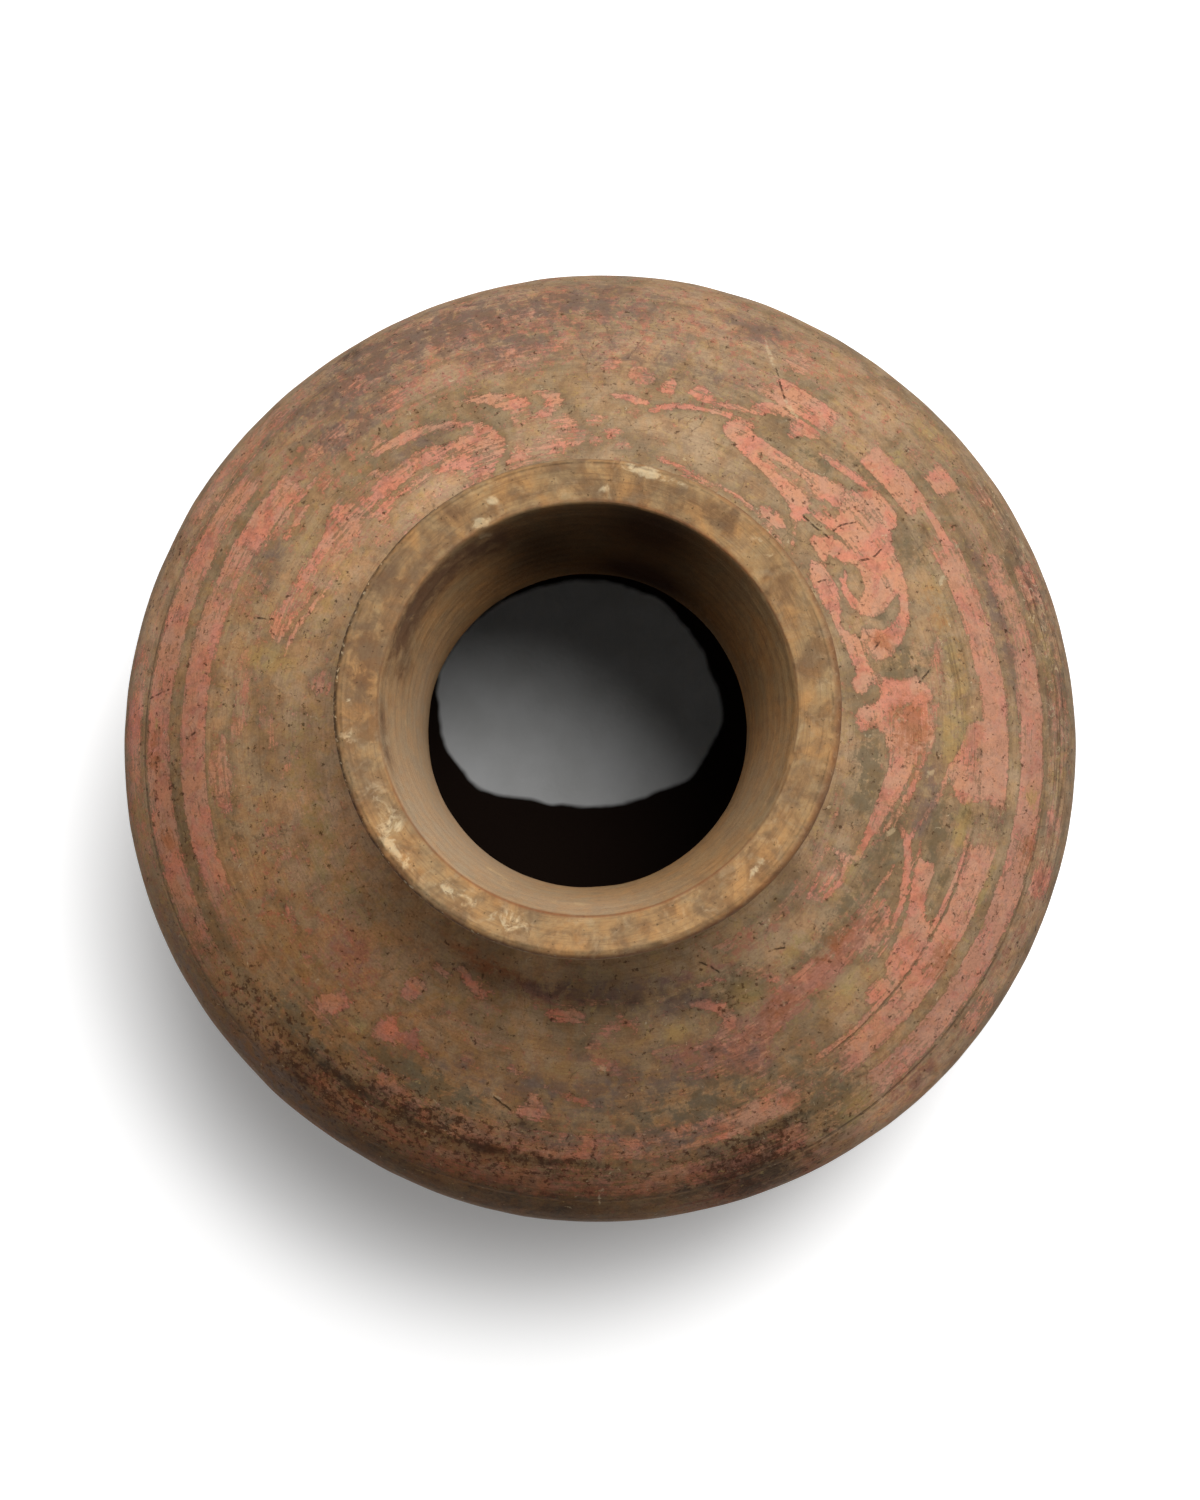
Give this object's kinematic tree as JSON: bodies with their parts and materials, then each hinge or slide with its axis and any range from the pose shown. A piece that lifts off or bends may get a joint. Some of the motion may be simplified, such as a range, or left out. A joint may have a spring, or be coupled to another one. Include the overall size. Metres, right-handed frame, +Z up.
{
  "type": "painted pottery jar",
  "caption": "Squat round pottery jar with a ring foot, a wide painted shoulder, a short flared neck and a thick flat lip, for storing grain, wine or water.",
  "frame": {"origin": "centre of the ring that the foot stands on", "axes": "+Z up along the axis of the jar, +X to the right and +Y to the top of the view from above"},
  "size_m": [0.3, 0.3, 0.29],
  "materials": {
    "painted_shoulder": "olive-brown burnished pottery with worn salmon-red cloud scrolls and bands",
    "burnished_clay": "burnished brown earthenware with stains and fine scratches",
    "bare_lip": "bare tan earthenware, rubbed and mottled",
    "foot_clay": "rough grey-brown earthenware",
    "grey_floor": "grey earthenware with a silty deposit inside",
    "fired_slip": "thin matt layer of fired slip"
  },
  "bodies": {
    "root": {"foot_ring": "foot_clay", "foot_slip": "fired_slip", "base_disc": "grey_floor", "base_slip": "fired_slip", "lower_bowl": "burnished_clay", "girth_slip": "fired_slip", "shoulder": "painted_shoulder", "neck_slip": "fired_slip", "neck": "burnished_clay", "lip_slip": "fired_slip", "mouth_rim": "bare_lip"}
  },
  "joints": []
}
